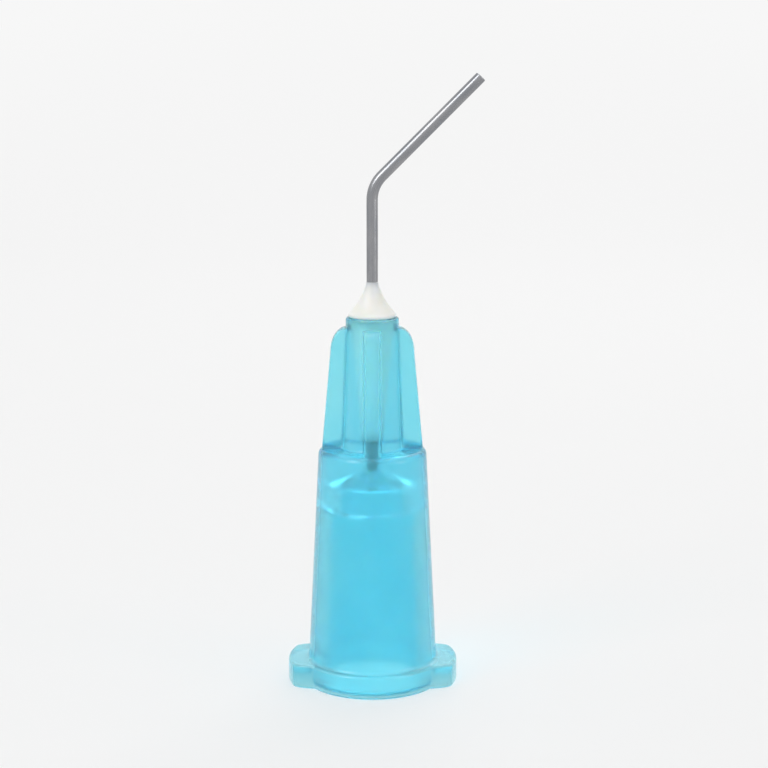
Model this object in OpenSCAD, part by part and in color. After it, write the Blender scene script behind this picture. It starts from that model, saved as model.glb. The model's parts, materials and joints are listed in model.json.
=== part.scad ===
// Dispensing needle tip: a moulded Luer-lock hub, a bent steel cannula and the glue that bonds them.
// The hub stands on its open end. Z runs up the hub's axis, and the cannula leans towards +X.

/* [Luer socket] */
// Diameter of the tapered socket at its open end
luer_mouth_d = 4.3; // [4.2:0.05:4.4]
// Diameter that the socket loses for each unit of depth
luer_taper = 0.06; // [0.05:0.005:0.07]
// Depth of the taper
luer_depth = 7.4; // [7:0.1:8]
// Length of the straight land at the taper's inner end
land_h = 0.8; // [0.4:0.1:1]
// Width of the lead-in chamfer round the mouth
mouth_chamfer = 0.12; // [0.05:0.01:0.2]

/* [Throat] */
// Diameter of the small chamber above the socket's land
chamber_d = 2.9; // [2.4:0.1:3.3]
// Height of that chamber
chamber_h = 1.1; // [0.7:0.1:1.5]
// Height of the funnel that leads from the chamber to the cannula
funnel_h = 0.8; // [0.5:0.1:1.2]
// Length of the close bore that guides the cannula
guide_h = 1.3; // [0.5:0.1:1.8]
// Radial play of the cannula in that bore
guide_play = 0.02; // [0.01:0.01:0.05]

/* [Collar and lugs] */
// Diameter of the collar round the open end
collar_d = 6.4; // [6.3:0.05:6.7]
// Height of the collar and of its lugs
collar_h = 1.1; // [0.8:0.05:1.5]
// Distance across the two lugs
lug_span = 7.8; // [7.6:0.05:8]
// Width of each lug
lug_w = 3.5; // [2.8:0.1:4]
// Cut at each lug's corners
lug_corner = 0.45; // [0.2:0.05:0.6]
// Break on the collar's and lugs' edges
collar_break = 0.15; // [0.08:0.01:0.25]

/* [Barrel] */
// Diameter of the barrel where it leaves the collar
barrel_base_d = 5.9; // [5.7:0.05:6.1]
// Diameter of the barrel at its shoulder
barrel_top_d = 4.9; // [4.7:0.05:5.2]
// Height of the shoulder above the open end
shoulder_z = 11; // [10.9:0.1:11.6]
// Rounding of the shoulder's edge
shoulder_round = 0.3; // [0.1:0.05:0.4]
// Radius of the fillet between collar and barrel
collar_fillet = 0.2; // [0.1:0.05:0.25]

/* [Finned nose] */
// Height of the nose's face above the open end
nose_z = 17; // [16.6:0.1:18]
// Diameter of the nose's face, with its break
nose_d = 2.4; // [2.3:0.05:2.7]
// Diameter of the core between the fins, where it leaves the shoulder
core_d = 2.8; // [2.7:0.05:3]
// Length of bare nose in front of the fins
nose_bare = 0.45; // [0.3:0.05:0.7]
// Break on the edge of the nose's face
nose_break = 0.1; // [0.05:0.01:0.15]
// Number of fins round the core
fin_count = 4; // [3:1:6]
// Diameter over the fins at the shoulder
fin_base_d = 4.6; // [4.3:0.05:4.7]
// Diameter over the fins where their ends start to round off
fin_end_d = 3.8; // [3.4:0.05:4.2]
// Length of the rounded end of the fins
fin_round = 1.1; // [0.6:0.1:1.5]
// Thickness of a fin at its outer edge
fin_edge_t = 0.6; // [0.4:0.05:0.8]
// Thickness of a fin on the hub's axis
fin_root_t = 0.95; // [0.9:0.05:1.2]

/* [Cannula] */
// Outside diameter of the tube, 25 gauge
cannula_d = 0.51; // [0.41:0.01:0.72]
// Inside diameter of the tube
cannula_bore_d = 0.26; // [0.2:0.01:0.3]
// Length of tube from the nose's face to the corner of the bend
reach_to_bend = 5.9; // [4.5:0.1:8]
// Length of tube from the corner of the bend to the outlet
reach_past_bend = 6.8; // [4.5:0.1:10]
// Angle of the bend
bend_deg = 45; // [30:5:90]
// Radius of the bend at the tube's centre
bend_r = 1.5; // [1:0.1:2.5]
// Break on the outlet's outer edge
outlet_break = 0.05; // [0.02:0.01:0.08]
// Length of tube that stands in the funnel, below the guide bore
tail_h = 0.35; // [0.1:0.05:0.45]

/* [Glue] */
// Diameter of the glue well at the nose's face
well_mouth_d = 1.3; // [1.1:0.05:1.5]
// Width of glue left all round the cannula at the well's foot
well_foot_gap = 0.04; // [0.02:0.01:0.08]
// Diameter of the glue bead on the nose's face
bead_d = 2.16; // [1.9:0.02:2.2]
// Height of the bead along the cannula
bead_h = 1.35; // [0.9:0.05:1.8]
// Height of the bead's rounded rim
bead_rim_h = 0.22; // [0.1:0.02:0.3]

/* [Hidden] */
$fn = 96;
past = 1;                    // how far a cut runs beyond the face that it opens
blue = [0.24, 0.68, 0.86];
steel = [0.66, 0.67, 0.69];
cream = [0.95, 0.95, 0.92];

luer_end_d = luer_mouth_d - luer_taper * luer_depth;
land_top_z = luer_depth + land_h;
chamber_top_z = land_top_z + chamber_h;
funnel_top_z = chamber_top_z + funnel_h;
well_foot_z = funnel_top_z + guide_h;
guide_d = cannula_d + 2 * guide_play;
well_foot_d = guide_d + 2 * well_foot_gap;
fin_top_z = nose_z - nose_bare;
tail_z = funnel_top_z - tail_h;
bend_tangent = round(100 * bend_r * tan(bend_deg / 2)) / 100;   // to whole hundredths
bend_z = nose_z + reach_to_bend - bend_tangent;
past_bend = reach_past_bend - bend_tangent;

// ---- hub -------------------------------------------------------------------------------------

// Collar ring, as a half section
module collar_section() {
    r = collar_d / 2;
    b = collar_break;
    polygon([[0, 0], [r - b, 0], [r, b], [r, collar_h - b], [r - b, collar_h], [0, collar_h]]);
}

// Barrel from the open end to the shoulder, as a half section with a rounded shoulder
module barrel_section() {
    base_r = barrel_base_d / 2;
    top_r = barrel_top_d / 2;
    slope_r = top_r + (base_r - top_r) * shoulder_round / (shoulder_z - collar_h);
    polygon(concat(
        [[0, 0], [base_r, 0], [base_r, collar_h], [slope_r, shoulder_z - shoulder_round]],
        [for (a = [15:15:90])
            [slope_r - shoulder_round * (1 - cos(a)), shoulder_z - shoulder_round * (1 - sin(a))]],
        [[0, shoulder_z]]
    ));
}

// Concave fillet between the collar's top and the barrel
module collar_fillet_section() {
    foot_r = barrel_base_d / 2;
    difference() {
        translate([foot_r - collar_fillet, collar_h - collar_break])
            square([2 * collar_fillet, collar_fillet + collar_break]);
        translate([foot_r + collar_fillet, collar_h + collar_fillet])
            circle(r = collar_fillet);
    }
}

// Core from the shoulder to the nose's face, as a half section
module core_section() {
    nose_r = nose_d / 2;
    polygon([
        [0, shoulder_z - past], [core_d / 2, shoulder_z - past], [core_d / 2, shoulder_z],
        [nose_r, fin_top_z], [nose_r, nose_z - nose_break], [nose_r - nose_break, nose_z], [0, nose_z]
    ]);
}

// The turned envelope that trims the fins: a slow taper, then a rounded end that meets the nose
module fin_envelope_section() {
    round_z = fin_top_z - fin_round;
    end_r = fin_end_d / 2;
    drop = end_r - nose_d / 2;
    polygon(concat(
        [[0, shoulder_z - past], [fin_base_d / 2, shoulder_z - past], [fin_base_d / 2, shoulder_z]],
        [for (a = [0:10:90]) [end_r - drop * (1 - cos(a)), round_z + fin_round * sin(a)]],
        [[0, fin_top_z]]
    ));
}

// One fin along +X, drafted from root to edge and a little longer than its envelope
module fin_blank() {
    over = 1.1;
    blank_r = over * fin_base_d / 2;
    blank_t = fin_root_t - over * (fin_root_t - fin_edge_t);
    translate([0, 0, shoulder_z - past])
        linear_extrude(height = fin_top_z - shoulder_z + past)
            polygon([
                [0, -fin_root_t / 2], [blank_r, -blank_t / 2],
                [blank_r, blank_t / 2], [0, fin_root_t / 2]
            ]);
}

module fins() {
    intersection() {
        rotate_extrude() fin_envelope_section();
        union() for (i = [0:fin_count - 1]) rotate([0, 0, 360 / fin_count * i]) fin_blank();
    }
}

// Outline of both lugs: a bar across the hub with its corners cut off
module lug_outline() {
    half_w = lug_w / 2;
    corner_x = sqrt(pow(lug_span / 2, 2) - pow(half_w, 2));
    straight_x = corner_x - lug_corner;
    cut_x = lug_span / 2;
    cut_y = half_w - (cut_x - straight_x);
    for (side = [0, 180])
        rotate([0, 0, side])
            polygon([
                [0, -half_w], [straight_x, -half_w], [cut_x, -cut_y],
                [cut_x, cut_y], [straight_x, half_w], [0, half_w]
            ]);
}

// The lugs, trimmed by a turned envelope that breaks their curved edges
module lugs() {
    r = lug_span / 2;
    b = collar_break;
    intersection() {
        linear_extrude(height = collar_h) lug_outline();
        rotate_extrude()
            polygon([[0, 0], [r - b, 0], [r, b], [r, collar_h - b], [r - b, collar_h], [0, collar_h]]);
    }
}

// Everything that is open inside the hub, from the mouth to the glue well
module hub_passage() {
    mouth_r = luer_mouth_d / 2;
    guide_r = guide_d / 2;
    well_slope = (well_mouth_d - well_foot_d) / 2 / (nose_z - well_foot_z);
    rotate_extrude()
        polygon([
            [0, -past], [mouth_r + mouth_chamfer + past, -past], [mouth_r + mouth_chamfer, 0],
            [mouth_r - luer_taper / 2 * mouth_chamfer, mouth_chamfer],
            [luer_end_d / 2, luer_depth], [luer_end_d / 2, land_top_z],
            [chamber_d / 2, land_top_z], [chamber_d / 2, chamber_top_z],
            [guide_r, funnel_top_z], [guide_r, well_foot_z],
            [well_foot_d / 2, well_foot_z],
            [well_mouth_d / 2, nose_z],
            [well_mouth_d / 2 + well_slope * past, nose_z + past], [0, nose_z + past]
        ]);
}

module hub() {
    color(blue)
        difference() {
            union() {
                rotate_extrude() collar_section();
                rotate_extrude() collar_fillet_section();
                rotate_extrude() barrel_section();
                rotate_extrude() core_section();
                lugs();
                fins();
            }
            hub_passage();
        }
}

// ---- cannula ---------------------------------------------------------------------------------

// The tube's wall, as a flat ring
module wall_ring() {
    difference() {
        circle(d = cannula_d);
        circle(d = cannula_bore_d);
    }
}

// The wall swept along the tube's path from the tail to the outlet, about the bend's pivot
module tube() {
    rotate([90, 0, 0])
        rotate([0, 0, 180 - bend_deg])
            rotate_extrude(angle = bend_deg)
                translate([bend_r, 0]) wall_ring();
    translate([-bend_r, 0, tail_z - bend_z])
        linear_extrude(height = bend_z - tail_z) wall_ring();
    rotate([0, bend_deg, 0])
        translate([-bend_r, 0, 0])
            linear_extrude(height = past_bend) wall_ring();
}

// What is taken off when the outlet's outer edge is broken, about the bend's pivot
module outlet_break_ring() {
    rotate([0, bend_deg, 0])
        translate([-bend_r, 0, past_bend])
            rotate_extrude()
                polygon([
                    [cannula_d / 2 - outlet_break, 0], [cannula_d / 2, -outlet_break],
                    [cannula_d, -outlet_break], [cannula_d, outlet_break],
                    [cannula_d / 2 - outlet_break, outlet_break]
                ]);
}

module cannula() {
    color(steel)
        translate([bend_r, 0, bend_z])
            difference() {
                tube();
                outlet_break_ring();
            }
}

// ---- glue ------------------------------------------------------------------------------------

// Tapered plug in the well and the conical bead on the nose's face, all round the cannula
module glue_bead() {
    tube_r = cannula_d / 2;
    bead_r = bead_d / 2;
    rim = bead_rim_h / 2;
    color(cream)
        rotate_extrude()
            polygon(concat(
                [[tube_r, well_foot_z], [well_foot_d / 2, well_foot_z], [well_mouth_d / 2, nose_z]],
                [for (a = [-90:30:60])
                    [bead_r - rim * (1 - cos(a)), nose_z + rim * (1 + sin(a))]],
                [[tube_r, nose_z + bead_h]]
            ));
}

hub();
cannula();
glue_bead();
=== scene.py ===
# %% [markdown]
# # A dispensing needle tip
# The tip is three pieces: a translucent blue polypropylene hub, a blunt steel tube bent to one
# side, and the cream epoxy that bonds the two. The CAD model is loaded first. It gives the
# frame, in metres, with +Z up the hub's axis and +X the way that the tube bends. Every size
# below that can be read from it is read from it, so the looks follow the part.

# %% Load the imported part
import bpy
import json
import math
import numpy as np
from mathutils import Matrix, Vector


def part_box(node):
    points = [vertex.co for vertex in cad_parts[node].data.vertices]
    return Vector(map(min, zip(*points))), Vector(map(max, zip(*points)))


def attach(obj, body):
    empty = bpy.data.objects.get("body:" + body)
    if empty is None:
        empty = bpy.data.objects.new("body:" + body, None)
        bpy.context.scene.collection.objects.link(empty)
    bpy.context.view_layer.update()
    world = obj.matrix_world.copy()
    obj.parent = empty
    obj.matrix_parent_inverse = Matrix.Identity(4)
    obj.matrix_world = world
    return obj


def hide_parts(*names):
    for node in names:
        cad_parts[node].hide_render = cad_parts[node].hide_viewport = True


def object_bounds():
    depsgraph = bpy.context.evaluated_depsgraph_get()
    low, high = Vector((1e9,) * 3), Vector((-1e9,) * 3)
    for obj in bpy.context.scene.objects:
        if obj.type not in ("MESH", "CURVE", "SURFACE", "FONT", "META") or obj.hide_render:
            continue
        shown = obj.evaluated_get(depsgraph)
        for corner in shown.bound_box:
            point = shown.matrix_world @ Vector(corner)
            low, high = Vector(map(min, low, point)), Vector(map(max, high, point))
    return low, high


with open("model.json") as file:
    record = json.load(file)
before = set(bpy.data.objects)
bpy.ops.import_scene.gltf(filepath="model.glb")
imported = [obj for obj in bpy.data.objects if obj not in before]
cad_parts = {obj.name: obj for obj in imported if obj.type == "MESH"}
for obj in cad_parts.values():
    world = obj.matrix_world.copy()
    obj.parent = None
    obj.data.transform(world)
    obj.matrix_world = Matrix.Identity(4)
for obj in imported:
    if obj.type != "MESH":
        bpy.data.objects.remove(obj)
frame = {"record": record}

cad_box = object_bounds()
MM = 0.001
TAU = 2 * math.pi

# %% [markdown]
# ## The sizes
# The mounts and the boxes of the three nodes give the lengths that the pieces share. The rest
# are the hub's own, in millimetres, as a mould maker would write them on the drawing.

# %% Sizes read from the frame, in mm
hub_low, hub_high = (np.array(corner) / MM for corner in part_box("hub"))
tube_low = np.array(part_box("cannula")[0]) / MM
glue_low, glue_high = (np.array(corner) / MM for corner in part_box("glue_bead"))
mounts = {mount["name"]: mount for mount in frame["record"]["mounts"]}

lug_span = hub_high[0] - hub_low[0]
collar_d = hub_high[1] - hub_low[1]
nose_z = hub_high[2]
tail_z = tube_low[2]
well_foot_z = glue_low[2]
bead_top_z = glue_high[2]
bead_r = glue_high[1]
tube_r = mounts["cannula_outlet"]["dims"]["r_mm"]
outlet = np.array(mounts["cannula_outlet"]["pos_m"]) / MM
print("hub", lug_span.round(2), "x", collar_d.round(2), "x", nose_z.round(2), "mm")
print("tube radius", tube_r, "outlet at", outlet.round(2), "glue from", well_foot_z.round(2))

# %% Sizes of the hub, in mm
mouth_d, mouth_chamfer = 4.3, 0.12
luer_taper, luer_depth = 0.06, 7.4
land_top_z, chamber_top_z, funnel_top_z = 8.2, 9.3, 10.1
chamber_d, guide_d = 2.9, 0.55
collar_h, collar_edge = 1.1, 0.15
lug_w, lug_round, lug_root = 3.5, 1.3, 0.15
barrel_base_d, barrel_top_d, barrel_fillet = 5.9, 4.9, 0.2
shoulder_z, shoulder_round = 11.0, 0.3
nose_d, nose_edge = 2.4, 0.1
core_d, core_fillet = 2.8, 0.14
shoulder_seam = 0.05
fin_base_d, fin_end_d = 4.6, 3.8
fin_edge_t, fin_root_t = 0.6, 0.95
fin_edge_round, fin_root_round = 0.16, 0.16
fin_top_z, fin_round = nose_z - 0.45, 1.1
well_mouth_d, well_foot_d = 1.3, 0.63
print("socket", mouth_d, "mm wide and", land_top_z, "mm deep")
print("fins from", shoulder_z, "to", round(fin_top_z, 2), "mm up")

# %% [markdown]
# ## One way to make every surface
# All three pieces are smooth shapes with a hole through them, so each is a stack of rings that
# closes on itself: up the outside, over the end, and back down the inside. Revolving a profile
# with a modifier would give the same for the plain parts, but not for the lugs and fins, where
# each ring has an outline of its own. A loft of rings does both, and it keeps the faces in
# clean rows, which gloss and clear plastic need.

# %% The closed loft
def closed_loft(name, rings, along):
    """Joins rings of points, in mm, into one closed surface. along is the v of each ring."""
    rings = np.array(rings)
    count, width = rings.shape[:2]
    row, column = np.meshgrid(np.arange(count), np.arange(width), indexing="ij")
    next_row, next_column = (row + 1) % count, (column + 1) % width
    corners = [(row, column), (row, next_column), (next_row, next_column), (next_row, column)]
    faces = np.stack([r * width + c for r, c in corners], axis=-1).reshape(-1, 4)
    mesh = bpy.data.meshes.new(name)
    mesh.from_pydata((rings.reshape(-1, 3) * MM).tolist(), [], faces.tolist())
    mesh.polygons.foreach_set("use_smooth", [True] * len(faces))

    u = np.stack([column, column + 1, column + 1, column], axis=-1) / width
    v = np.array(along)[np.stack([row, row, next_row, next_row], axis=-1)]
    uv = mesh.uv_layers.new(name="around_and_along")
    uv.data.foreach_set("uv", np.stack([u, v], axis=-1).ravel())

    mesh.validate()
    piece = bpy.data.objects.new(name, mesh)
    bpy.context.scene.collection.objects.link(piece)
    weld = piece.modifiers.new("merge rings that touch", "WELD")
    weld.merge_threshold = 0.0002 * MM
    level = piece.modifiers.new("flat faces stay flat", "WEIGHTED_NORMAL")
    level.keep_sharp = True
    print(f"{name}: {count} rings of {width}, {2 * count * width} triangles")
    return piece


# %% Helpers for profiles
def soften(corners, steps=5):
    """A profile of (r, z) points from corners (r, z, rounding), with each corner rounded."""
    points = []
    for i, (r, z, rounding) in enumerate(corners):
        here = np.array([r, z], float)
        if rounding == 0:
            points.append(here)
            continue
        back = np.array(corners[i - 1][:2]) - here
        ahead = np.array(corners[i + 1][:2]) - here
        back, ahead = back / np.linalg.norm(back), ahead / np.linalg.norm(ahead)
        half = math.acos(np.clip(back @ ahead, -1, 1)) / 2
        middle = (back + ahead) / np.linalg.norm(back + ahead)
        centre = here + middle * rounding / math.sin(half)
        start = here + back * rounding / math.tan(half) - centre
        end = here + ahead * rounding / math.tan(half) - centre
        first = math.atan2(start[1], start[0])
        sweep = (math.atan2(end[1], end[0]) - first + math.pi) % TAU - math.pi
        for t in np.linspace(0, 1, steps + 1):
            angle = first + sweep * t
            points.append(centre + rounding * np.array([math.cos(angle), math.sin(angle)]))
    return points


def smooth_max(a, b, width):
    """The larger of two radii, with a fillet where they cross."""
    blend = np.clip(0.5 + 0.5 * (a - b) / width, 0, 1)
    return b + (a - b) * blend + width * blend * (1 - blend)


def smooth_min(a, b, width):
    """The smaller of two radii, with a rounded edge where they cross."""
    return -smooth_max(-a, -b, width)


def quarter(steps):
    """Angles for a quarter turn, both ends included."""
    return np.linspace(0, math.pi / 2, steps + 1)


print("a softened right angle has", len(soften([(0, 0, 0), (1, 0, 0.2), (1, 1, 0)])), "points")

# %% [markdown]
# ## The hub
# The real hub is one injection moulding. It has a round collar with two lugs for the syringe's
# thread, a drafted barrel round the tapered socket, and a finned nose that holds the glue.
#
# It could be primitives joined with booleans and bevelled, but bevels across boolean seams
# pinch, and clear plastic shows every pinch. Here each ring's outline is a formula for the
# radius at each angle. A smooth maximum joins fin to core and lug to collar with the small
# fillet that a mould has, and a smooth minimum rounds their outer edges.

# %% Angles of the columns
def half_sector(spacings):
    """Angles from 0 to 45 degrees, from pairs of (end of range, largest step), in degrees."""
    angles, here = [], 0
    for end, step in spacings:
        count = math.ceil((end - here) / step)
        angles += [here + (end - here) * i / count for i in range(count)]
        here = end
    return angles


plain_half = half_sector([(5, 2), (22, 0.6), (45, 2.5)])
lug_half = half_sector([(5, 2), (22, 0.6), (38, 0.9), (45, 2.5)])
theta = []
for direction, half in ((0, lug_half), (90, plain_half), (180, lug_half), (270, plain_half)):
    theta += [direction - 45] if direction == 0 else []
    theta += [direction - a for a in reversed(half[1:])] + [direction + a for a in half]
    theta += [direction + 45] if direction < 270 else []
theta = np.radians(theta)
from_fin = np.abs((theta + math.pi / 4) % (math.pi / 2) - math.pi / 4)
print(len(theta), "columns, closest", round(math.degrees(np.diff(theta).min()), 2), "degrees apart")


# %% Outlines of the collar and of the fins
def ring(radius, z):
    """One ring of the hub: a radius for each column, at one height."""
    radius = np.broadcast_to(radius, theta.shape)
    height = np.full(theta.shape, z)
    return np.stack([radius * np.cos(theta), radius * np.sin(theta), height], axis=-1)


lug_side = lug_w / 2 / np.maximum(np.abs(np.sin(theta)), 0.001)
lug = smooth_min(lug_span / 2, lug_side, lug_round)
collar_outline = smooth_max(collar_d / 2, lug, lug_root)
fin_draft = (fin_root_t - fin_edge_t) / fin_base_d


def fin_outline(fin_r, swell):
    """The fins alone: drafted sides, and an outer edge that is rounded off."""
    side = (fin_root_t / 2 + swell) / (np.sin(from_fin) + fin_draft * np.cos(from_fin))
    return smooth_min(fin_r, side, fin_edge_round)


def nose_outline(core_r, fin_r, swell=0):
    """Fins and core, with a fillet between them that fades where the fins do."""
    fillet = min(fin_root_round, max(fin_r - core_r, 0.0001))
    return smooth_max(core_r + swell, fin_outline(fin_r, swell), fillet)


print("collar from", collar_outline.min().round(2), "to", collar_outline.max().round(2), "mm in radius")

# %% Rings of the collar and barrel
hub_rings = []
mouth_r = mouth_d / 2
barrel_base_r, barrel_top_r = barrel_base_d / 2, barrel_top_d / 2
slope_z = collar_h + barrel_fillet
inner_edge = collar_outline - collar_edge
lip_r = mouth_r + mouth_chamfer
for t in (0.04, 0.35, 0.7, 1):
    hub_rings.append(ring(lip_r + (inner_edge - lip_r) * t, 0))
for a in quarter(6)[1:]:
    hub_rings.append(ring(inner_edge + collar_edge * math.sin(a), collar_edge * (1 - math.cos(a))))
for a in quarter(6):
    z = collar_h - collar_edge * (1 - math.sin(a))
    hub_rings.append(ring(inner_edge + collar_edge * math.cos(a), z))
for t in (0.35, 0.7, 1):
    hub_rings.append(ring(inner_edge + (barrel_base_r + barrel_fillet - inner_edge) * t, collar_h))
for a in quarter(6)[1:]:
    radius = barrel_base_r + barrel_fillet * (1 - math.sin(a))
    hub_rings.append(ring(radius, slope_z - barrel_fillet * math.cos(a)))
for z in np.linspace(slope_z, shoulder_z - shoulder_round, 26)[1:]:
    t = (z - collar_h) / (shoulder_z - collar_h)
    hub_rings.append(ring(barrel_base_r + (barrel_top_r - barrel_base_r) * t, z))
print(len(hub_rings), "rings up to the shoulder")


# %% Rings of the shoulder, fins and nose
fin_base_r, fin_end_r = fin_base_d / 2, fin_end_d / 2
nose_r, core_base_r = nose_d / 2, core_d / 2
round_z = fin_top_z - fin_round


def core_r_at(z):
    """The core's radius, which narrows to the nose."""
    return core_base_r + (nose_r - core_base_r) * (z - shoulder_z) / (fin_top_z - shoulder_z)


def fin_r_at(z):
    """How far the fins reach from the axis, below their rounded tops."""
    return fin_base_r + (fin_end_r - fin_base_r) * (z - shoulder_z) / (round_z - shoulder_z)


barrel_slope = (barrel_base_r - barrel_top_r) / (shoulder_z - collar_h)
shoulder_r = barrel_top_r + barrel_slope * shoulder_round
foot = fin_outline(fin_base_r, core_fillet)
for a in quarter(7)[1:]:
    radius = smooth_max(shoulder_r - shoulder_round * (1 - math.cos(a)), foot, shoulder_seam)
    hub_rings.append(ring(radius, shoulder_z - shoulder_round * (1 - math.sin(a))))
rim = smooth_max(shoulder_r - shoulder_round, foot, shoulder_seam)
root = nose_outline(core_base_r, fin_base_r, core_fillet)
for t in (0.5, 0.95):
    hub_rings.append(ring(rim + (root - rim) * t, shoulder_z))
for a in quarter(6):
    z = shoulder_z + core_fillet * (1 - math.cos(a))
    swell = core_fillet * (1 - math.sin(a))
    hub_rings.append(ring(nose_outline(core_r_at(z), fin_r_at(z), swell), z))
for z in np.linspace(shoulder_z + core_fillet, round_z, 22)[1:]:
    hub_rings.append(ring(nose_outline(core_r_at(z), fin_r_at(z)), z))
for a in quarter(14)[1:]:
    z = round_z + fin_round * math.sin(a)
    fin_r = fin_end_r - (fin_end_r - nose_r) * (1 - math.cos(a))
    hub_rings.append(ring(nose_outline(core_r_at(z), fin_r), z))
for z in (fin_top_z + 0.02, nose_z - nose_edge - 0.1):
    hub_rings.append(ring(nose_r, z))
for a in quarter(5):
    z = nose_z - nose_edge * (1 - math.sin(a))
    hub_rings.append(ring(nose_r - nose_edge * (1 - math.cos(a)), z))
print(len(hub_rings), "rings up to the nose's face")

# %% [markdown]
# The inside of the hub is a stack of plain round surfaces: the well that the glue fills, the
# close bore that guides the tube, a funnel, a chamber, and the tapered socket. A core pin
# makes them all, so its corners are rounded a little, and the profile is softened to match.

# %% Rings of the passage, and the hub
luer_end_r = (mouth_d - luer_taper * luer_depth) / 2
passage = soften([
    (well_mouth_d / 2 + 0.2, nose_z, 0),
    (well_mouth_d / 2, nose_z, 0.03),
    (well_foot_d / 2, well_foot_z, 0.01),
    (guide_d / 2, well_foot_z, 0.01),
    (guide_d / 2, funnel_top_z, 0.1),
    (chamber_d / 2, chamber_top_z, 0.15),
    (chamber_d / 2, land_top_z, 0.08),
    (luer_end_r, land_top_z, 0.12),
    (luer_end_r, luer_depth, 0),
    (mouth_r - luer_taper / 2 * mouth_chamfer, mouth_chamfer, 0.05),
    (mouth_r + mouth_chamfer, 0, 0),
])
hub_rings += [ring(r, z) for r, z in passage]
hub = closed_loft("moulded_hub", hub_rings, [points[0][2] for points in hub_rings])
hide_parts("hub")
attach(hub, "root")

# %% [markdown]
# ## The bent tube
# The cannula is drawn stainless tube, cut square, with its cut edge broken, and bent on a small
# roller. A curve with a bevel would draw the outside, but not the bore or the broken edge. The
# same loft follows the tube's path instead, up the outside and back down the bore. Its UV map
# runs round and along the tube, so that the drawing marks can turn the bend with it.

# %% Path of the tube
lean = mounts["cannula_outlet"]["axis"]
bend = math.atan2(lean[0], lean[2])
bend_r = 1.5
corner_z = outlet[2] - outlet[0] / math.tan(bend)
bend_z = corner_z - bend_r * math.tan(bend / 2)
leg = bend_z - tail_z
arc = bend_r * bend
last_leg = (outlet[2] - corner_z) / math.cos(bend) - bend_r * math.tan(bend / 2)
path_length = leg + arc + last_leg


def tube_point(s):
    """The path's point at length s from the tail, and its turn from the hub's axis."""
    if s <= leg:
        return np.array([0, 0, tail_z + s]), 0
    turn = min(s - leg, arc) / bend_r
    point = np.array([bend_r * (1 - math.cos(turn)), 0, bend_z + bend_r * math.sin(turn)])
    past = max(s - leg - arc, 0)
    return point + past * np.array([math.sin(turn), 0, math.cos(turn)]), turn


print("path", round(path_length, 2), "mm, bend", round(math.degrees(bend)), "degrees")

# %% The tube
bore_r, outlet_edge = 0.13, 0.05
tail_edge, bore_edge = 0.02, 0.012
around = np.linspace(0, TAU, 56, endpoint=False)


def tube_ring(s, radius):
    """A circle square to the path."""
    point, turn = tube_point(s)
    across = np.array([math.cos(turn), 0, -math.sin(turn)])
    level = np.array([0, 1, 0])
    return point + radius * (np.outer(np.cos(around), across) + np.outer(np.sin(around), level))


straight_steps = np.linspace(0, leg, 14)
bend_steps = np.linspace(leg, leg + arc, 22)[1:]
last_steps = np.linspace(leg + arc, path_length - outlet_edge, 10)[1:]
stations = [*straight_steps, *bend_steps, *last_steps]
tube_rings = [(0, (tube_r + bore_r) / 2), (0, tube_r - tail_edge)]
tube_rings += [(max(s, tail_edge), tube_r) for s in stations]
for a in quarter(5)[1:]:
    s = path_length - outlet_edge * (1 - math.sin(a))
    tube_rings.append((s, tube_r - outlet_edge * (1 - math.cos(a))))
tube_rings += [(path_length, bore_r + bore_edge), (path_length - bore_edge, bore_r)]
tube_rings += [(s, bore_r) for s in reversed(stations)]
tube_along = [s for s, r in tube_rings]
cannula = closed_loft("bent_cannula", [tube_ring(s, r) for s, r in tube_rings], tube_along)
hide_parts("cannula")
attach(cannula, "root")

# %% [markdown]
# ## The glue
# Two-part epoxy is dispensed round the tube where it enters the nose. It runs down the tapered
# well as a long plug, and what is left stands on the nose's face as a small cone that wets the
# tube. A cone on a tapered pin would do for the shape, but they would meet in a hard line and
# look turned. It is one body of glue, so it is one loft. Its flank is a power curve that flares
# out at the foot and climbs the tube at the top, and a few slow waves take it off the round.
# The plug reaches a hair into the plastic: the two are bonded, with no air between them that
# would mirror the light.

# %% The glue
bond = 0.012
glue_around = np.linspace(0, TAU, 120, endpoint=False)
bead_rim = 0.11
flank_hollow, flank_climb = 1.35, 1.12
wander_share = 0.012
film_top_z = bead_top_z + 0.25


def glue_ring(r, z, wave):
    """A circle of glue. wave is how far it may wander from round, as a share of its radius."""
    oval = np.sin(2 * glue_around + 0.9 + 0.8 * z)
    three_sided = np.sin(3 * glue_around + 2.1 - 1.3 * z)
    radius = r * (1 + wave * (0.6 * oval + 0.4 * three_sided))
    height = np.full(glue_around.shape, z)
    return np.stack([radius * np.cos(glue_around), radius * np.sin(glue_around), height], axis=-1)


plug_foot_r, plug_mouth_r = well_foot_d / 2 + bond, well_mouth_d / 2 + bond
glue_profile = [(tube_r - bond, well_foot_z, 0), (plug_foot_r, well_foot_z, 0)]
for t in np.linspace(0, 1, 14)[1:]:
    z = well_foot_z + (nose_z - well_foot_z) * t
    glue_profile.append((plug_foot_r + (plug_mouth_r - plug_foot_r) * t, z, 0))
glue_profile.append((bead_r - bead_rim, nose_z - bond / 4, wander_share / 3))
for a in np.linspace(-1.35, 0.9, 9):
    r = bead_r - bead_rim * (1 - math.cos(a))
    glue_profile.append((r, nose_z + bead_rim * (1 + math.sin(a)), wander_share))
flank_r, flank_z = glue_profile[-1][:2]
for t in np.linspace(0, 1, 22)[1:]:
    r = tube_r + bond / 2 + (flank_r - tube_r) * (1 - t) ** flank_hollow
    z = flank_z + (film_top_z - flank_z) * t ** flank_climb
    glue_profile.append((r, z, wander_share * (1 - t)))
glue_profile.append((tube_r - bond, film_top_z, 0))
glue_along = [z for r, z, wave in glue_profile]
glue = closed_loft("glue_bead_and_plug", [glue_ring(*p) for p in glue_profile], glue_along)
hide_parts("glue_bead")
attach(glue, "root")

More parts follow.
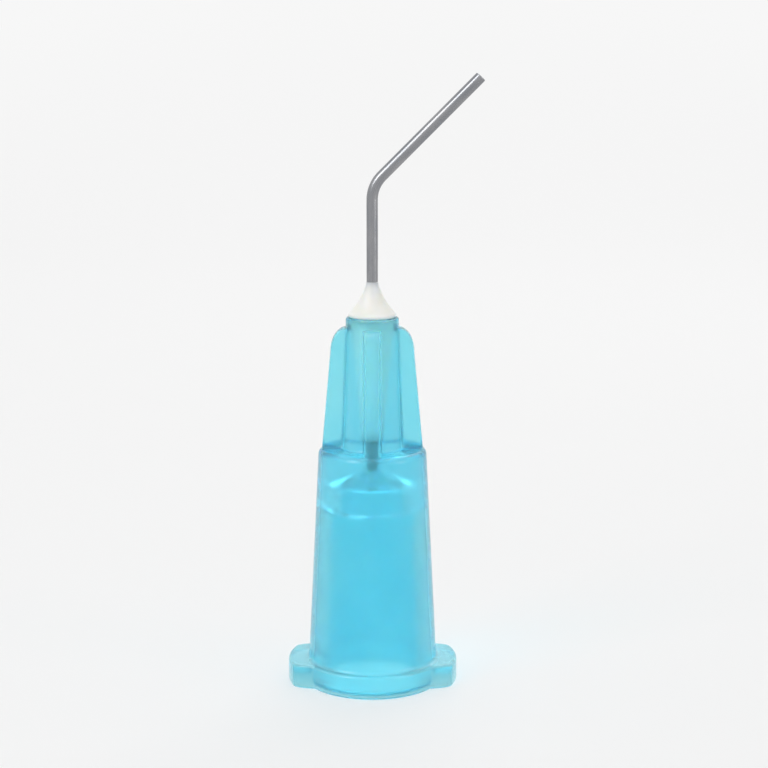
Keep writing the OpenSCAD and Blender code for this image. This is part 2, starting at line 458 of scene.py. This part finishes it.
# %% [markdown]
# ## Writing shaders as sums
# A shader is a graph of nodes, and a graph is hard to read in a script. A small class wraps an
# output socket, and Python's operators on it add the Math nodes. Colours go through Mix nodes
# and vectors through Vector Math, because a Math node would turn a colour grey.

# %% A socket that can be added and multiplied
class Wire:
    """An output socket of a node tree, or a plain start for new nodes."""

    def __init__(self, tree, socket=None):
        self.tree, self.socket = tree, socket

    def node(self, kind, settings=None, sockets=None, out=0):
        """Adds a node: its settings first, then values or wires for its sockets."""
        made = self.tree.nodes.new("ShaderNode" + kind)
        for name, value in (settings or {}).items():
            setattr(made, name, value)
        for key, value in (sockets or {}).items():
            if isinstance(value, Wire):
                self.tree.links.new(value.socket, made.inputs[key])
            else:
                made.inputs[key].default_value = value
        return Wire(self.tree, made.outputs[out])

    def math(self, operation, *values):
        """Adds a Math node."""
        return self.node("Math", {"operation": operation}, dict(enumerate(values)))

    def __add__(self, other):
        return self.math("ADD", self, other)

    def __sub__(self, other):
        return self.math("SUBTRACT", self, other)

    def __rsub__(self, other):
        return self.math("SUBTRACT", other, self)

    def __mul__(self, other):
        return self.math("MULTIPLY", self, other)

    __radd__, __rmul__ = __add__, __mul__

    def between(self, low, high):
        """0 at low, 1 at high, held outside."""
        return self.node("MapRange", {"clamp": True}, {0: self, 1: low, 2: high})

    def mix(self, colour_a, colour_b):
        """colour_a where this wire is 0, colour_b where it is 1."""
        return self.node("Mix", {"data_type": "RGBA"}, {0: self, 6: colour_a, 7: colour_b}, out=2)


def new_material(name, **constants):
    """A material, its shader and a wire to start from. Constants go on the shader's sockets."""
    material = bpy.data.materials.new(name)
    material.use_nodes = True
    tree = material.node_tree
    shader = tree.nodes["Principled BSDF"]
    for socket, value in constants.items():
        shader.inputs[socket.replace("_", " ")].default_value = value
    return material, shader, Wire(tree)


def feed(shader, **wires):
    """Links wires to the shader's sockets."""
    for socket, wire in wires.items():
        wire.tree.links.new(wire.socket, shader.inputs[socket.replace("_", " ")])


def show(material, surface, volume=None):
    """Links a wire to the material's surface, and one to its volume."""
    tree = material.node_tree
    output = tree.nodes["Material Output"]
    tree.links.new(surface.socket, output.inputs["Surface"])
    if volume:
        tree.links.new(volume.socket, output.inputs["Volume"])


def bump(start, strength, height_mm, height):
    """A normal that is raised by height_mm where height is 1."""
    sockets = {"Strength": strength, "Distance": height_mm * MM, "Height": height}
    return start.node("Bump", {}, sockets)


def noise(start, place, scale, detail=2.0):
    """Smooth noise about 0.5, scale in cycles for each mm."""
    return start.node("TexNoise", {}, {"Vector": place, "Scale": scale, "Detail": detail})


def times(place, factors):
    """A vector wire, multiplied along each axis."""
    return place.node("VectorMath", {"operation": "MULTIPLY"}, {0: place, 1: factors})


def in_mm(start, stretch=(1, 1, 1)):
    """The part's own coordinates in mm, divided by stretch."""
    return times(start.node("TexCoord", out="Object"), [1 / (s * MM) for s in stretch])


def paint(piece, material):
    """Gives the piece this one material."""
    piece.data.materials.clear()
    piece.data.materials.append(material)
    print(piece.name, "gets", material.name, "with", len(material.node_tree.nodes), "nodes")


# %% [markdown]
# ## Clear blue plastic
# The hub is polypropylene with a little blue dye. It is clear enough to see the glue and the
# socket's walls through it, but it has a milky haze, because polypropylene is part crystal. A
# glass shader alone looks too wet, and a see-through diffuse one loses the bright inner edges.
# So most of the light is transmitted with some roughness, and the rest is scattered just under
# the surface. The dye tints light at each surface that it crosses, and a weak volume adds more
# where the walls are thick. The skin has the faint waviness of a moulded surface and the drag
# marks of the draft.
#
# Lamps don't find their way through rough glass by themselves, and the glue inside would stay
# dark. For shadow rays alone the surface is therefore clear, and only the dye in the volume
# tints what the lamps throw on the glue and on the floor.

# %% The hub's material
plastic, shader, start = new_material(
    "blue_polypropylene",
    IOR=1.49,
    Transmission_Weight=0.86,
    Subsurface_Weight=1.0,
    Subsurface_Radius=(0.5 * MM, 0.9 * MM, 1.1 * MM),
    Subsurface_Scale=1.0,
)
haze = noise(start, in_mm(start), 0.35, 3.0)
drag = noise(start, in_mm(start, (0.12, 0.12, 6)), 1.0)
skin = noise(start, in_mm(start), 2.2)
feed(
    shader,
    Base_Color=haze.between(0.35, 0.65).mix((0.26, 0.81, 0.93, 1), (0.32, 0.85, 0.95, 1)),
    Roughness=0.13 + 0.10 * haze + 0.05 * drag,
    Normal=bump(start, 0.35, 0.006, skin + 0.35 * drag),
)
body = Wire(plastic.node_tree, shader.outputs["BSDF"])
dye = start.node("VolumeAbsorption", {}, {"Color": (0.05, 0.80, 0.96, 1), "Density": 200.0})
clear = start.node("BsdfTransparent", {}, {"Color": (1.0, 1.0, 1.0, 1)})
shadow = start.node("LightPath", out="Is Shadow Ray")
show(plastic, start.node("MixShader", {}, {0: shadow, 1: body, 2: clear}), volume=dye)
paint(hub, plastic)

# %% [markdown]
# ## Drawn steel
# The tube was pulled through a die, so its marks run along it, and it reflects in long streaks.
# Noise on the part's coordinates would run straight on through the bend. These lines are noise
# that is stretched along the tube's own UV map, where u goes round it and v is the length in
# millimetres, so they turn with the tube. A broad second noise stains the steel a little.

# %% The tube's material
steel, shader, start = new_material("drawn_steel", Metallic=1.0, Anisotropic=0.4)
place = start.node("UVMap", {"uv_map": "around_and_along"})
lines = noise(start, times(place, (60, 0.35, 1)), 1.0, 3.0)
stain = noise(start, times(place, (3, 0.5, 1)), 1.0)
feed(
    shader,
    Base_Color=stain.between(0.35, 0.7).mix((0.24, 0.25, 0.27, 1), (0.33, 0.33, 0.34, 1)),
    Roughness=0.16 + 0.16 * lines + 0.05 * stain,
    Normal=bump(start, 0.4, 0.004, lines),
)
paint(cannula, steel)

# %% [markdown]
# ## Cured epoxy
# The glue is an off-white filled epoxy. A plain diffuse shader would make it look like chalk,
# and a clear one like resin. It is nearly opaque, so a short subsurface radius is enough to
# soften it, and it is satin, with a slightly uneven skin where it set.

# %% The glue's material
epoxy, shader, start = new_material(
    "cream_epoxy",
    IOR=1.5,
    Subsurface_Weight=0.6,
    Subsurface_Radius=(0.35 * MM, 0.28 * MM, 0.2 * MM),
    Subsurface_Scale=1.0,
)
flow = noise(start, in_mm(start), 1.4, 3.0)
grain = noise(start, in_mm(start), 9.0)
feed(
    shader,
    Base_Color=flow.between(0.3, 0.7).mix((0.96, 0.95, 0.91, 1), (0.91, 0.90, 0.83, 1)),
    Roughness=0.30 + 0.15 * flow,
    Normal=bump(start, 0.5, 0.02, flow + 0.12 * grain),
)
paint(glue, epoxy)

# %% [markdown]
# ## Studio
# Small clear parts are shot on a pale sweep, a floor that curves up into a wall, so that no
# horizon shows through the plastic. Big soft lamps from the left, the right and behind give
# the barrel its long streaks.
#
# A pale background could come from more light, but then the object would be too bright. Here
# the paper and the world glow only where the camera, a mirror or clear plastic looks at them.
# Near the object the paper is half its lit self, to keep the shadow. Far off it is all glow.

# %% The sweep
sweep_width, sweep_front, sweep_back, sweep_r, sweep_top = 1.2, -0.5, 0.16, 0.16, 0.7
profile = [(sweep_front, 0), (sweep_back, 0)]
profile += [(sweep_back + sweep_r * math.sin(a), sweep_r * (1 - math.cos(a))) for a in quarter(24)[1:]]
profile.append((sweep_back + sweep_r, sweep_top))
points = [(x, y, z) for y, z in profile for x in (-sweep_width / 2, sweep_width / 2)]
strips = [(2 * i, 2 * i + 1, 2 * i + 3, 2 * i + 2) for i in range(len(profile) - 1)]
sweep_mesh = bpy.data.meshes.new("sweep")
sweep_mesh.from_pydata(points, [], strips)
sweep_mesh.polygons.foreach_set("use_smooth", [True] * len(strips))
sweep = bpy.data.objects.new("sweep", sweep_mesh)
bpy.context.scene.collection.objects.link(sweep)

print("sweep", sweep_width, "m wide, wall", sweep_back + sweep_r, "m behind the object")

# %% The paper
ground = (0.93, 0.93, 0.93, 1)


def looked_at(start):
    """1 where the camera, a mirror or clear plastic looks, and 0 for light that falls on things."""
    rays = start.node("LightPath", out="Is Camera Ray")
    for kind in ("Is Glossy Ray", "Is Transmission Ray"):
        rays = start.math("MAXIMUM", rays, start.node("LightPath", out=kind))
    return rays


paper, shader, start = new_material(
    "pale_paper",
    Base_Color=(0.86, 0.86, 0.86, 1),
    Roughness=0.9,
    Specular_IOR_Level=0.1,
)
place = start.node("TexCoord", out="Object")
reach = start.node("VectorMath", {"operation": "LENGTH"}, {0: place}, out="Value")
near = 1 - reach.between(0.06, 0.26)
lit = Wire(paper.node_tree, shader.outputs["BSDF"])
glow = start.node("Emission", {}, {"Color": ground, "Strength": 1.0})
share = looked_at(start) * (1 - 0.5 * near)
show(paper, start.node("MixShader", {}, {0: share, 1: lit, 2: glow}))
paint(sweep, paper)

# %% The world and the lamps
world = bpy.data.worlds.new("studio")
bpy.context.scene.world = world
world.use_nodes = True
world.node_tree.nodes.clear()
start = Wire(world.node_tree)
strength = 0.45 + 0.55 * looked_at(start)
sky = start.node("Background", {}, {"Color": ground, "Strength": strength})
output = world.node_tree.nodes.new("ShaderNodeOutputWorld")
world.node_tree.links.new(sky.socket, output.inputs[0])


def soft_lamp(name, place, aim, size, power):
    """An oblong area lamp at place, turned to aim, both in metres. Its power is in watts."""
    lamp = bpy.data.lights.new(name, "AREA")
    lamp.shape, lamp.energy = "RECTANGLE", power
    lamp.size, lamp.size_y = size
    holder = bpy.data.objects.new(name, lamp)
    bpy.context.scene.collection.objects.link(holder)
    direction = np.array(aim) - np.array(place)
    holder.location = place
    turn = math.atan2(direction[1], direction[0]) - math.pi / 2
    tilt = math.atan2(direction[2], math.hypot(direction[0], direction[1])) + math.pi / 2
    holder.rotation_euler = (tilt, 0, turn)
    print(name, "at", place, "power", power, "W")


centre = tuple((low + high) / 2 for low, high in zip(*cad_box))
soft_lamp("key", (-0.16, -0.14, 0.17), centre, (0.10, 0.16), 0.24)
soft_lamp("fill", (0.20, -0.10, 0.08), centre, (0.08, 0.16), 0.09)
soft_lamp("back", (0.04, 0.17, 0.17), centre, (0.20, 0.12), 0.18)
soft_lamp("overhead", (0.0, 0.02, 0.28), centre, (0.22, 0.22), 0.16)

# %% [markdown]
# ## Camera
# A long lens, a little above the bench, looks square at the plane of the bend, so that the
# angle of the tube shows true.

# %% The camera
elevation = math.radians(11)
lens, sensor = 90, 36
fill_share = 0.80
height = cad_box[1][2] - cad_box[0][2]
distance = height / fill_share / 2 / math.tan(math.atan(sensor / 2 / lens))
camera_data = bpy.data.cameras.new("camera")
camera_data.lens, camera_data.sensor_width, camera_data.clip_start = lens, sensor, 0.005
camera = bpy.data.objects.new("camera", camera_data)
bpy.context.scene.collection.objects.link(camera)
camera.location = (
    centre[0],
    centre[1] - distance * math.cos(elevation),
    centre[2] + distance * math.sin(elevation),
)
camera.rotation_euler = (math.pi / 2 - elevation, 0, 0)
bpy.context.scene.camera = camera
bpy.context.scene.view_settings.view_transform = "Standard"
print("camera", round(distance, 3), "m away, lens", lens, "mm")
